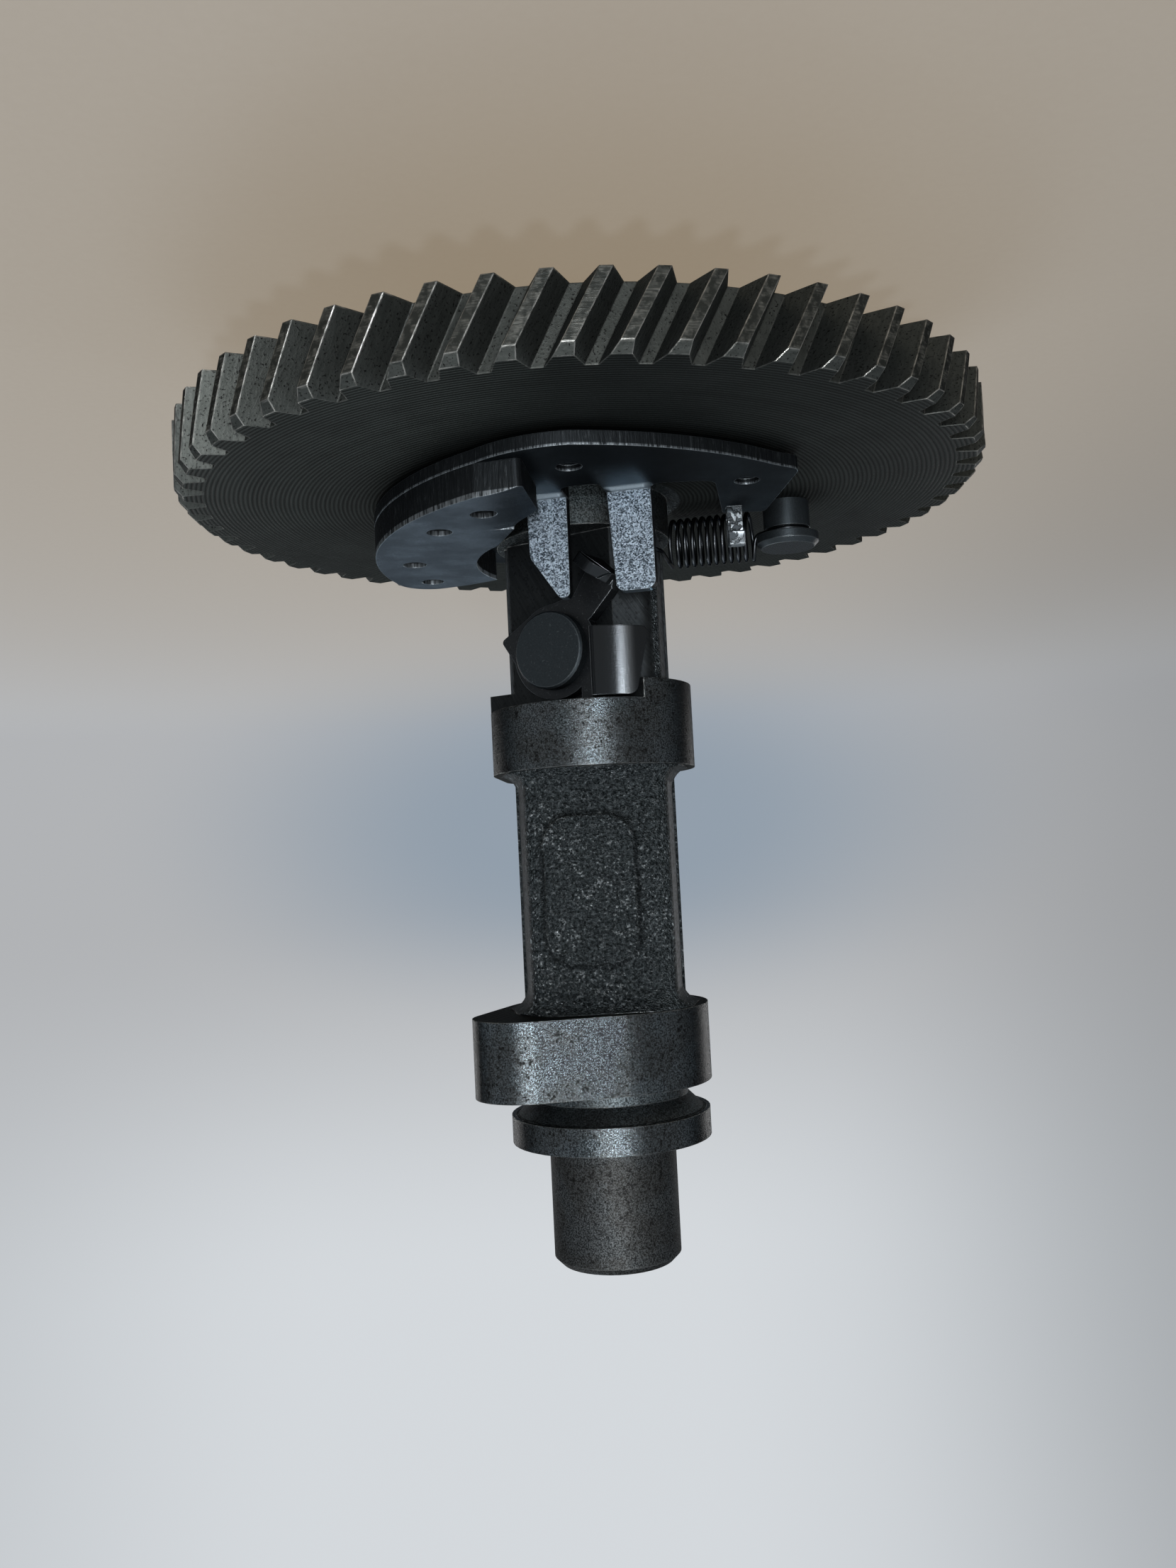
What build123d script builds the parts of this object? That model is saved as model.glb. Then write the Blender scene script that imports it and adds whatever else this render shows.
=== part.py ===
"""Small-engine camshaft with a helical timing gear and a centrifugal decompression release.

One iron casting carries the gear, two lobes, a plain collar and a journal at each end.
A flyweight swings out on the gear face as speed rises; its two fingers carry the flange of
a release lever, whose wing then draws back from beside the base circle of the upper lobe.

Millimetres.  The shaft axis is +Z, and the origin is on it at the end of the gear-side journal.
"""
from build123d import *
from math import acos, atan, cos, degrees, hypot, pi, radians, sin, tan
import os

# ---------------------------------------------------------------- driving dimensions: shaft
journal_radius = 8.0
journal_chamfer = 0.84
gear_journal_length = 14.5
end_journal_length = 15.2
boss_radius = 12.6
boss_height = 1.5
gear_width = 8.0
hub_radius = 11.25
hub_height = 5.25
upper_shaft_length = 19.15
upper_lobe_width = 10.5
middle_shaft_length = 29.8
lower_lobe_width = 9.5
neck_radius = 9.9
neck_length = 3.6
neck_flare = 1.9
collar_radius = 12.6
collar_width = 3.4

# gear teeth
tooth_count = 58
normal_module = 1.5
pressure_angle = 20.0
helix_angle = 28.2
dedendum_factor = 1.25
front_tooth_azimuth = -88.9
front_tip_chamfer = 1.0

# cast shaft section, half sizes across and deep, with its draft and its ground parting strip
cast_half_width = 10.0
cast_half_depth = 9.3
cast_draft_angle = 8.0
cast_corner_radius = 2.4
lobe_blend = 0.95
lobe_land = 1.0
strip_width = 1.2
strip_height = 0.25
pad_width = 11.0
pad_length = 18.1
pad_offset = 1.15
pad_corner_radius = 3.5
pad_height = 0.3

# lobes
base_circle_radius = 13.0
lobe_lift = 6.4
nose_radius = 6.6
upper_nose_azimuth = 64.0
lower_nose_azimuth = -40.8

# milled flat for the release lever
flat_distance = 6.45
flat_azimuth = -60.0
ledge_below_lobe_edge = 2.45

# ---------------------------------------------------------------- driving dimensions: release
plate_thickness = 1.6
plate_gap = 0.8
dimple_radius = 1.5
dimple_depth = 0.7
weight_thickness = 3.8
weight_hole_radius = 1.55
coin_start = 11.5
coin_end = 4.5
coin_drop = 1.3
coin_reach = (14.0, 34.0)
hub_opening_radius = 13.9

pivot_x = 1.0
pivot_y = 17.0
pivot_radius = 2.5
pivot_eye_radius = 4.8
pivot_head_radius = 3.7
pivot_head_height = 1.0
running_clearance = 0.05
axial_play = 0.1
pin_depth_in_gear = 6.0

finger_plane_azimuth = -78.0
finger_plane_distance = 13.22
finger_tip_height = 14.6

tab_width = 1.9
tab_height = 7.6
tab_x = -19.4
tab_front_y = -5.6
tab_hook_length = 1.0
tab_hook_height = 1.8

post_x = -27.3
post_y = 3.2
post_radius = 3.05
post_head_radius = 4.1
post_groove_radius = 2.5
post_groove_height = 0.8
post_body_height = 3.55
post_height = 6.0
post_head_chamfer = 0.6

wire_radius = 0.27
coil_radius = 3.1
coil_turns = 11
coil_pitch = 1.0
coil_start = 4.6
coil_azimuth = 12.45

lever_thickness = 1.75
lever_lift_off = 0.1
lever_pin_height = 20.1
lever_disc_radius = 6.0
lever_pin_radius = 2.5
lever_pin_head_radius = 4.85
lever_pin_head_height = 1.7
lever_pin_depth = 8.0
lever_pin_chamfer = 0.25
flange_thickness = 1.4
flange_rise = 5.85
flange_low_rise = 2.75
wing_thickness = 1.3
wing_stand_off = 0.4
ledge_clearance = 0.3

# ---------------------------------------------------------------- heights along the shaft
z_gear_back = gear_journal_length + boss_height
z_gear_front = z_gear_back + gear_width
z_hub_end = z_gear_front + hub_height
z_upper_lobe = z_hub_end + upper_shaft_length
z_middle = z_upper_lobe + upper_lobe_width
z_lower_lobe = z_middle + middle_shaft_length
z_neck = z_lower_lobe + lower_lobe_width
z_collar = z_neck + neck_length
z_end_journal = z_collar + collar_width
z_end = z_end_journal + end_journal_length
z_ledge = z_upper_lobe + ledge_below_lobe_edge
z_plate = z_gear_front + plate_gap
z_weight = z_plate + plate_thickness
z_lever_pin = z_gear_front + lever_pin_height


def polar(radius, azimuth):
    """Point at a radius and an azimuth in degrees."""
    return (radius * cos(radians(azimuth)), radius * sin(radians(azimuth)))


# ---------------------------------------------------------------- gear
transverse_module = normal_module / cos(radians(helix_angle))
transverse_pressure = atan(tan(radians(pressure_angle)) / cos(radians(helix_angle)))
pitch_radius = transverse_module * tooth_count / 2
tip_radius = pitch_radius + normal_module
root_radius = pitch_radius - dedendum_factor * normal_module
involute_base_radius = pitch_radius * cos(transverse_pressure)
gear_twist = degrees(gear_width * tan(radians(helix_angle)) / pitch_radius)
tooth_pitch_angle = 360 / tooth_count
blank_radius = tip_radius + 0.3


def half_tooth_angle(radius):
    """Half the angle in degrees that a tooth fills at a radius, on its involute flanks."""
    rolled = acos(min(1.0, involute_base_radius / radius))
    involute = tan(rolled) - rolled
    involute_at_pitch = tan(transverse_pressure) - transverse_pressure
    return degrees(pi / (2 * tooth_count) + involute_at_pitch - involute)


def tooth_ring_points(turn):
    """Points of the closed outline of all the teeth, turned by an angle, each flank in one run."""
    points = []
    for tooth in range(tooth_count):
        middle = turn + tooth * tooth_pitch_angle
        for radius in (root_radius, blank_radius):
            points.append(polar(radius, middle - half_tooth_angle(radius)))
        for radius in (blank_radius, root_radius):
            points.append(polar(radius, middle + half_tooth_angle(radius)))
    return points


with BuildSketch(Plane.XY.offset(z_gear_back)) as tooth_ring:
    with BuildLine():
        Polyline(tooth_ring_points(front_tooth_azimuth - gear_twist), close=True)
    make_face()

with BuildPart() as gear:
    add(
        Solid.extrude_linear_with_rotation(
            tooth_ring.sketch.faces()[0], (0, 0, z_gear_back), (0, 0, gear_width), gear_twist
        )
    )
    with BuildSketch(Plane.XZ):
        with BuildLine():
            Polyline(
                (0, z_gear_back),
                (tip_radius, z_gear_back),
                (tip_radius, z_gear_front - front_tip_chamfer),
                (tip_radius - front_tip_chamfer, z_gear_front),
                (0, z_gear_front),
                close=True,
            )
        make_face()
    revolve(axis=Axis.Z, mode=Mode.INTERSECT)


# ---------------------------------------------------------------- camshaft body
def lobe_outline(nose_azimuth):
    """Base circle and nose circle joined by straight flanks."""
    nose_distance = base_circle_radius + lobe_lift - nose_radius
    Circle(base_circle_radius)
    with Locations(polar(nose_distance, nose_azimuth)):
        Circle(nose_radius)
    make_hull()


def on_junction(edge, height):
    """True for the edges where the cast section meets a lobe's face."""
    box = edge.bounding_box()
    flat = abs(box.min.Z - height) < 0.01 and abs(box.max.Z - height) < 0.01
    centre = edge.center()
    return flat and hypot(centre.X, centre.Y) < base_circle_radius - lobe_land / 2


drafted_half_width = cast_half_width - cast_half_depth * tan(radians(cast_draft_angle))
lever_plane = Plane(
    origin=(0, 0, z_lever_pin),
    x_dir=(*polar(1, flat_azimuth + 90), 0),
    z_dir=(*polar(1, flat_azimuth), 0),
)

with BuildPart() as camshaft_body:
    with BuildSketch(Plane.XZ):
        with BuildLine():
            Polyline(
                (0, 0),
                (journal_radius - journal_chamfer, 0),
                (journal_radius, journal_chamfer),
                (journal_radius, gear_journal_length),
                (boss_radius, gear_journal_length),
                (boss_radius, z_gear_front),
                (hub_radius, z_gear_front),
                (hub_radius, z_hub_end),
                (0, z_hub_end),
                close=True,
            )
        make_face()
    revolve(axis=Axis.Z)
    with BuildSketch(Plane.XY.offset(z_hub_end)) as cast_section:
        with BuildLine():
            Polyline(
                (cast_half_width, 0),
                (drafted_half_width, cast_half_depth),
                (-drafted_half_width, cast_half_depth),
                (-cast_half_width, 0),
                (-drafted_half_width, -cast_half_depth),
                (drafted_half_width, -cast_half_depth),
                close=True,
            )
        make_face()
        fillet(cast_section.vertices().filter_by(lambda v: abs(v.Y) > strip_width), cast_corner_radius)
        Circle(base_circle_radius - lobe_land, mode=Mode.INTERSECT)
    extrude(amount=z_neck - z_hub_end)
    with BuildSketch(Plane.XY.offset(z_upper_lobe)):
        lobe_outline(upper_nose_azimuth)
    extrude(amount=upper_lobe_width)
    with BuildSketch(Plane.XY.offset(z_lower_lobe)):
        lobe_outline(lower_nose_azimuth)
    extrude(amount=lower_lobe_width)
    for junction in (z_middle, z_lower_lobe):
        chamfer(camshaft_body.edges().filter_by(lambda e: on_junction(e, junction)), lobe_blend)
    with BuildSketch(Plane.XZ):
        with BuildLine():
            Polyline(
                (0, z_neck),
                (neck_radius, z_neck),
                (neck_radius, z_collar - neck_flare),
                (neck_radius + neck_flare, z_collar),
                (collar_radius, z_collar),
                (collar_radius, z_end_journal),
                (journal_radius, z_end_journal),
                (journal_radius, z_end - journal_chamfer),
                (journal_radius - journal_chamfer, z_end),
                (0, z_end),
                close=True,
            )
        make_face()
    revolve(axis=Axis.Z)
    for side in (-1, 1):
        with BuildSketch(Plane.XY.offset(z_hub_end)):
            with Locations((side * (cast_half_width + strip_height - strip_width / 2), 0)):
                Rectangle(strip_width, strip_width)
        extrude(amount=z_lower_lobe - z_hub_end)
    with BuildSketch(Plane.XZ.offset(cast_half_depth)):
        with Locations((pad_offset, (z_middle + z_lower_lobe) / 2)):
            RectangleRounded(pad_width, pad_length, pad_corner_radius)
    extrude(amount=pad_height)
    # milled flat, open to the hub end and closed by a ledge in the upper lobe
    cut_reach = base_circle_radius + lobe_lift
    with BuildSketch(lever_plane.offset(flat_distance)):
        with Locations((0, z_ledge - z_lever_pin)):
            Rectangle(2 * cut_reach, z_ledge - z_hub_end, align=(Align.CENTER, Align.MAX))
    extrude(amount=cut_reach, mode=Mode.SUBTRACT)
    with BuildSketch(lever_plane.offset(flat_distance)):
        Circle(lever_pin_radius)
    extrude(amount=-lever_pin_depth, mode=Mode.SUBTRACT)
    add(gear.part)
    with BuildSketch(Plane.XY.offset(z_gear_front)):
        with Locations((pivot_x, pivot_y)):
            Circle(pivot_radius)
        with Locations((post_x, post_y)):
            Circle(post_radius)
    extrude(amount=-pin_depth_in_gear, mode=Mode.SUBTRACT)

# ---------------------------------------------------------------- flyweight
finger_plane = Plane(
    origin=(*polar(finger_plane_distance, finger_plane_azimuth), z_gear_front),
    x_dir=(*polar(1, finger_plane_azimuth + 90), 0),
    z_dir=(*polar(1, finger_plane_azimuth), 0),
)


def beside_bend(along, outward=0.0):
    """Plan point at a distance along the fingers' bend line and outward from it."""
    point = finger_plane.from_local_coords((along, 0, outward))
    return (point.X, point.Y)


def outer_edge():
    """Swept outer edge that the flyweight plate and its counterweight share."""
    ThreePointArc(edge_corner, (19.4, -19.8), (25.3, -8.6))
    ThreePointArc((25.3, -8.6), (27.2, 2.0), (26.0, 12.6))
    ThreePointArc((26.0, 12.6), (23.9, 15.5), edge_end)


edge_start = (-22.3, -21.7)
edge_corner = (11.6, -27.6)
edge_end = (20.4, 16.1)
left_finger = (-1.05, 4.0)
right_finger = (-11.35, -5.95)
eye_outer = (pivot_x + polar(pivot_eye_radius, 70)[0], pivot_y + polar(pivot_eye_radius, 70)[1])
eye_far = (pivot_x - pivot_eye_radius, pivot_y)
eye_inner = (pivot_x + polar(pivot_eye_radius, -50)[0], pivot_y + polar(pivot_eye_radius, -50)[1])
relief_depth = 4.0
dimples = ((1.15, -24.7), (-19.8, -16.1))
weight_holes = ((11.2, -20.8), (17.1, -14.0), (22.3, 1.45), (21.25, 11.7))

with BuildPart() as flyweight_plate:
    with BuildSketch(Plane.XY.offset(z_plate)):
        with BuildLine():
            ThreePointArc(edge_start, (-10.0, -29.4), (1.0, -32.3))
            ThreePointArc((1.0, -32.3), (6.9, -30.9), edge_corner)
            outer_edge()
            ThreePointArc(edge_end, (11.5, 18.3), eye_outer)
            ThreePointArc(eye_outer, eye_far, eye_inner)
            ThreePointArc(eye_inner, (hub_opening_radius, 0), beside_bend(left_finger[1]))
            FilletPolyline(
                beside_bend(left_finger[1]),
                beside_bend(left_finger[0]),
                beside_bend(left_finger[0], relief_depth),
                beside_bend(right_finger[1], relief_depth),
                beside_bend(right_finger[1]),
                beside_bend(right_finger[0]),
                (-8.5, -17.1),
                (-15.9, -16.9),
                (-18.2, -2.6),
                (-23.7, -2.3),
                (-25.5, -19.5),
                edge_start,
                radius=(0.1, 1.2, 1.2, 0.1, 0.1, 1.5, 2.0, 0.6, 0.8, 1.8),
            )
        make_face()
        with Locations((pivot_x, pivot_y)):
            Circle(pivot_radius + running_clearance, mode=Mode.SUBTRACT)
    extrude(amount=plate_thickness)
    # the two fingers stand up from the bend line
    with BuildSketch(finger_plane):
        with BuildLine():
            FilletPolyline(
                (left_finger[0], plate_gap),
                (left_finger[0] + 0.1, finger_tip_height),
                (0.35, finger_tip_height),
                (left_finger[1] - 0.2, 9.4),
                (left_finger[1], plate_gap),
                radius=(0.7, 0.7, 1.5),
            )
            Line((left_finger[1], plate_gap), (left_finger[0], plate_gap))
        make_face()
        with BuildLine():
            FilletPolyline(
                (right_finger[1], plate_gap),
                (right_finger[1] - 0.75, finger_tip_height - 0.15),
                (right_finger[0] - 0.1, finger_tip_height - 0.15),
                (right_finger[0], plate_gap),
                radius=(1.0, 1.2),
            )
            Line((right_finger[0], plate_gap), (right_finger[1], plate_gap))
        make_face()
    extrude(amount=-plate_thickness)
    # guard tab beside the spring, its end hooked outward
    with BuildSketch(Plane.YZ.offset(tab_x - tab_width / 2)):
        with BuildLine():
            FilletPolyline(
                (tab_front_y + plate_thickness, z_plate),
                (tab_front_y + plate_thickness, z_gear_front + tab_height),
                (tab_front_y - tab_hook_length, z_gear_front + tab_height),
                (tab_front_y - tab_hook_length, z_gear_front + tab_height - tab_hook_height),
                (tab_front_y, z_gear_front + tab_height - tab_hook_height),
                (tab_front_y, z_plate),
                radius=(1.4, 0.2, 0.2, 0.3),
            )
            Line((tab_front_y, z_plate), (tab_front_y + plate_thickness, z_plate))
        make_face()
    extrude(amount=tab_width)
    # pressed dimples
    with BuildSketch(Plane.XY.offset(z_weight)):
        with Locations(*dimples):
            Circle(dimple_radius)
    extrude(amount=-dimple_depth, mode=Mode.SUBTRACT)

with BuildPart() as counterweight:
    with BuildSketch(Plane.XY.offset(z_weight)):
        with BuildLine():
            outer_edge()
            ThreePointArc(edge_end, (16.2, 14.5), (12.3, 12.3))
            ThreePointArc((12.3, 12.3), (14.25, 3.0), (10.7, -6.4))
            FilletPolyline(
                (10.7, -6.4),
                (7.6, -15.5),
                (5.1, -17.9),
                (6.3, -29.1),
                edge_corner,
                radius=(4.0, 0.6, 0.8),
            )
        make_face()
        with Locations(*weight_holes):
            Circle(weight_hole_radius, mode=Mode.SUBTRACT)
    extrude(amount=weight_thickness)
    # face coined down in a curve towards the end beside the fingers
    z_weight_top = z_weight + weight_thickness
    coin_middle = ((coin_start + coin_end) / 2, z_weight_top - coin_drop / 4)
    with BuildSketch(Plane.XZ.offset(coin_reach[0])):
        with BuildLine():
            ThreePointArc((coin_start, z_weight_top), coin_middle, (coin_end, z_weight_top - coin_drop))
            Polyline(
                (coin_end, z_weight_top - coin_drop),
                (coin_end, z_weight_top),
                (coin_start, z_weight_top),
            )
        make_face()
    extrude(amount=coin_reach[1] - coin_reach[0], mode=Mode.SUBTRACT)

with BuildPart() as flyweight_pivot_pin:
    with BuildSketch(Plane.XY.offset(z_gear_front - pin_depth_in_gear)):
        with Locations((pivot_x, pivot_y)):
            Circle(pivot_radius)
    extrude(amount=pin_depth_in_gear + plate_gap + plate_thickness + axial_play)
    with BuildSketch(Plane.XY.offset(z_weight + axial_play)):
        with Locations((pivot_x, pivot_y)):
            Circle(pivot_head_radius)
    extrude(amount=pivot_head_height)

# ---------------------------------------------------------------- return spring and its post
with BuildPart() as spring_post:
    with BuildSketch(Plane(origin=(post_x, post_y, z_gear_front), x_dir=(1, 0, 0), z_dir=(0, -1, 0))):
        with BuildLine():
            Polyline(
                (0, -pin_depth_in_gear),
                (post_radius, -pin_depth_in_gear),
                (post_radius, post_body_height),
                (post_groove_radius, post_body_height),
                (post_groove_radius, post_body_height + post_groove_height),
                (post_head_radius, post_body_height + post_groove_height),
                (post_head_radius, post_height - post_head_chamfer),
                (post_head_radius - post_head_chamfer, post_height),
                (0, post_height),
                close=True,
            )
        make_face()
    revolve(axis=Axis((post_x, post_y, 0), (0, 0, 1)))

coil_height = post_body_height + post_groove_height / 2
coil_base = Plane(
    origin=(post_x, post_y, z_gear_front + coil_height),
    x_dir=(0, 0, 1),
    z_dir=(*polar(1, coil_azimuth), 0),
)
loop_radius = post_groove_radius + wire_radius + running_clearance
wire_facets = 4
steps_per_turn = 8
leg_height = 9.0
leg_end = beside_bend(right_finger[0] + 0.8, -plate_thickness - wire_radius - running_clearance)
leg_bends = (
    (-10.95, 0.5, z_gear_front + 7.4),
    (-9.7, -9.0, z_gear_front + 8.6),
    (*leg_end, z_gear_front + leg_height),
)


def coil_section(turn):
    """Plane across the wire after a number of turns, its X away from the coil's axis."""
    outward = polar(1, 360 * turn)
    around = polar(2 * pi * coil_radius, 360 * turn + 90)
    to_world = coil_base.from_local_coords
    centre = to_world((coil_radius * outward[0], coil_radius * outward[1], coil_start + coil_pitch * turn))
    radial = coil_base.x_dir * outward[0] + coil_base.y_dir * outward[1]
    along = coil_base.x_dir * around[0] + coil_base.y_dir * around[1] + coil_base.z_dir * coil_pitch
    return Plane(origin=centre, x_dir=radial, z_dir=along)


def loop_point(step):
    """Corner of the open loop in the post's groove, the last one nearest to the coil."""
    azimuth = coil_azimuth + 360 * (step + 1) / steps_per_turn
    across = polar(loop_radius / cos(pi / steps_per_turn), azimuth)
    return Vector(post_x + across[0], post_y + across[1], z_gear_front + coil_height)


def straight_wire(start, end):
    """One straight run of the spring's wire."""
    run = Vector(end) - Vector(start)
    with BuildSketch(Plane(origin=start, z_dir=run)) as section:
        RegularPolygon(wire_radius, wire_facets)
    extrude(section.sketch, amount=run.length)


with BuildPart() as return_spring:
    for step in range(coil_turns * steps_per_turn + 1):
        turn = step / steps_per_turn
        with BuildSketch(coil_section(turn)):
            RegularPolygon(wire_radius, wire_facets)
    loft(ruled=True)
    # loop in the post's groove with its crossing to the first turn, and the leg to the right finger
    crossing = coil_base.offset(coil_start - wire_radius).origin
    loop_points = [loop_point(step) for step in range(steps_per_turn)]
    leg_points = [coil_section(coil_turns).origin, *leg_bends]
    for run_points in ([*loop_points, crossing, coil_section(0).origin], leg_points):
        for start, end in zip(run_points, run_points[1:]):
            straight_wire(start, end)

# ---------------------------------------------------------------- release lever and its pin
lever_underside = lever_plane.offset(flat_distance + lever_lift_off)
wing_outer_radius = base_circle_radius + wing_stand_off
wing_inner_radius = wing_outer_radius - wing_thickness
wing_top = -1.9
wing_bottom = z_ledge - ledge_clearance - z_lever_pin
wing_azimuths = (-124.0, -93.0)
wing_edge_azimuth = -118.0
wing_edge_low = 0.7
wing_edge_knee = (0.2, 4.1)
wing_edge_high = -1.4


def on_lever(across, outward):
    """Plan point at a distance across the lever's flat and outward from the shaft axis."""
    point = lever_plane.from_local_coords((across, 0, outward))
    return (point.X, point.Y)


wing_edge_plane = Plane(
    origin=(0, 0, z_lever_pin),
    x_dir=(*polar(1, wing_edge_azimuth + 90), 0),
    z_dir=(*polar(1, wing_edge_azimuth), 0),
)

with BuildPart() as wing_outline:
    with BuildSketch(wing_edge_plane):
        with BuildLine():
            FilletPolyline(
                (wing_outer_radius, wing_bottom),
                (wing_edge_low, wing_bottom),
                wing_edge_knee,
                (wing_edge_high, wing_top),
                (wing_outer_radius, wing_top),
                radius=(1.3, 6.0, 0.8),
            )
            Line((wing_outer_radius, wing_top), (wing_outer_radius, wing_bottom))
        make_face()
    extrude(amount=base_circle_radius + lobe_lift)

with BuildPart() as lever_wing:
    with BuildSketch(Plane.XY.offset(z_lever_pin + wing_top)):
        plate_low = flat_distance + lever_lift_off
        plate_high = plate_low + lever_thickness
        with BuildLine():
            first, last = wing_azimuths
            middle = (first + last) / 2
            ThreePointArc(
                polar(wing_outer_radius, first),
                polar(wing_outer_radius, middle),
                polar(wing_outer_radius, last),
            )
            Polyline(
                polar(wing_outer_radius, last),
                on_lever(-6.75, 11.3),
                on_lever(-5.3, plate_high),
                on_lever(-3.6, plate_high),
                on_lever(-3.6, plate_low),
                on_lever(-6.3, plate_low),
                polar(wing_inner_radius, last - 3.5),
            )
            ThreePointArc(
                polar(wing_inner_radius, last - 3.5),
                polar(wing_inner_radius, middle),
                polar(wing_inner_radius, first),
            )
            Line(polar(wing_inner_radius, first), polar(wing_outer_radius, first))
        make_face()
    extrude(amount=wing_bottom - wing_top)
    add(wing_outline.part, mode=Mode.INTERSECT)

flange_start = (-5.9, -10.4)
flange_end = (-8.75, -7.7)
flange_run = Vector(flange_end[0] - flange_start[0], flange_end[1] - flange_start[1])
flange_length = flange_run.length
flange_slope = Vector(0, 0, flange_run.Y / flange_length)
flange_along = lever_plane.x_dir * (flange_run.X / flange_length) + flange_slope
flange_plane = Plane(
    origin=lever_underside.from_local_coords((*flange_start, 0)),
    x_dir=flange_along,
    z_dir=flange_along.cross(lever_plane.z_dir),
)

with BuildPart() as release_lever:
    with BuildSketch(lever_underside):
        Circle(lever_disc_radius)
        with BuildLine():
            FilletPolyline((3.2, -5.0), (7.9, -2.2), (5.6, 1.4), radius=0.5)
            Polyline((5.6, 1.4), (0, 0), (3.2, -5.0))
        make_face()
        with BuildLine():
            Polyline(
                (2.3, -5.5),
                (-0.5, -6.1),
                (-3.1, -6.7),
                (-4.7, -9.0),
                flange_start,
                flange_end,
                (-8.5, -6.6),
                (-7.9, -6.0),
                (-5.5, -3.6),
                (0, 0),
                close=True,
            )
        make_face()
    extrude(amount=lever_thickness)
    with BuildSketch(flange_plane):
        with BuildLine():
            FilletPolyline(
                (0, 0),
                (0, flange_rise),
                (2.5, flange_rise),
                (flange_length, flange_low_rise),
                (flange_length, 0),
                radius=(0.5, 1.0, 0.5),
            )
            Line((flange_length, 0), (0, 0))
        make_face()
    extrude(amount=flange_thickness / 2, both=True)
    add(lever_wing.part)
    with BuildSketch(lever_underside):
        Circle(lever_pin_radius + running_clearance)
    extrude(amount=lever_thickness + axial_play, mode=Mode.SUBTRACT)

with BuildPart() as lever_pin:
    head_seat = flat_distance + lever_lift_off + lever_thickness + running_clearance
    with BuildSketch(lever_plane.offset(flat_distance - lever_pin_depth)):
        Circle(lever_pin_radius)
    extrude(amount=lever_pin_depth - flat_distance + head_seat)
    with BuildSketch(lever_plane.offset(head_seat)):
        Circle(lever_pin_head_radius)
    extrude(amount=lever_pin_head_height)
    outer_face = lever_pin.faces().sort_by(Axis((0, 0, 0), lever_plane.z_dir))[-1]
    chamfer(outer_face.edges(), lever_pin_chamfer)

# ---------------------------------------------------------------- files
camshaft_body.part.label = "camshaft_body"
flyweight_plate.part.label = "flyweight_plate"
counterweight.part.label = "counterweight"
flyweight_pivot_pin.part.label = "flyweight_pivot_pin"
spring_post.part.label = "spring_post"
return_spring.part.label = "return_spring"
release_lever.part.label = "release_lever"
lever_pin.part.label = "lever_pin"

os.makedirs("parts", exist_ok=True)
export_step(camshaft_body.part, "parts/camshaft_body.step")
export_step(flyweight_plate.part, "parts/flyweight_plate.step")
export_step(counterweight.part, "parts/counterweight.step")
export_step(flyweight_pivot_pin.part, "parts/flyweight_pivot_pin.step")
export_step(spring_post.part, "parts/spring_post.step")
export_step(return_spring.part, "parts/return_spring.step")
export_step(release_lever.part, "parts/release_lever.step")
export_step(lever_pin.part, "parts/lever_pin.step")
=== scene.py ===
"""Looks of the camshaft: camera, light, a finish for each CAD node, cast fillets and a wire spring."""
import bpy
from math import cos, pi, radians, sin
from mathutils import Matrix, Vector


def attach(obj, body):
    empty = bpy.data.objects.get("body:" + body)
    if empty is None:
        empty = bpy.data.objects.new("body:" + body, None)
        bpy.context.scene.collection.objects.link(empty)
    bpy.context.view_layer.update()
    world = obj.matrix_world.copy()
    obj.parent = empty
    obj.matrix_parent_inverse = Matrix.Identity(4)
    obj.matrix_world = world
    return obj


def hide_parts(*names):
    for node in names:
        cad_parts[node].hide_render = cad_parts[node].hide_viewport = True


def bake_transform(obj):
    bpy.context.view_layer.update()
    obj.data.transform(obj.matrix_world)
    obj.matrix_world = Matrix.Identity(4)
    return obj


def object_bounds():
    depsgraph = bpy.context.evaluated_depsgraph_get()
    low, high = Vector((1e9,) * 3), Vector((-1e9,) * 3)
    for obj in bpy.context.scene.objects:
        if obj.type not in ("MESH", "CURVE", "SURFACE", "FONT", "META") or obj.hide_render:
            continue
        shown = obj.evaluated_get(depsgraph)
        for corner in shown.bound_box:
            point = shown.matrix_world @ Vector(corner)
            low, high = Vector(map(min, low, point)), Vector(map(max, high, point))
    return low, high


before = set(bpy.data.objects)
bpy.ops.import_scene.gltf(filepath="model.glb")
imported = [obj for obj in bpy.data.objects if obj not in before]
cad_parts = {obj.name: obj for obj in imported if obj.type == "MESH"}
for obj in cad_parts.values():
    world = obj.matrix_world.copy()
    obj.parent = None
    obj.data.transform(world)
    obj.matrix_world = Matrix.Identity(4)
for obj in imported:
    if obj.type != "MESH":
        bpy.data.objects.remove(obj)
cad_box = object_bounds()

MM = 0.001

# ---------------------------------------------------------------- sizes shared with the CAD, in millimetres
GEAR_BACK, GEAR_FRONT = 16.0, 24.0
HUB_END = 29.25
UPPER_LOBE = (48.4, 58.9)
LOWER_LOBE = (88.7, 98.2)
COLLAR = (101.8, 105.2)
TIP_RADIUS, ROOT_RADIUS = 50.86, 47.48
BOSS_RADIUS = 12.6
PAD_FACE, PAD_MIDDLE = -9.6, (1.15, 73.8)
PAD_SIZE, PAD_CORNER = (11.0, 18.1), 3.5
FLAT_AZIMUTH, FLAT_DISTANCE, LEDGE = -60.0, 6.45, 50.85
FINGER_AZIMUTH, FINGER_DISTANCE = -78.0, 13.22
SATIN_AND_PAINTED_SHEEN_REACH = 12.0
BEND_REACH, BEND_RISE = 2.6, 2.4
PLATE_BOTTOM, PLATE_TOP = 24.8, 26.4
WEIGHT_TOP = 30.2
POST = (-27.3, 3.2)
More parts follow.
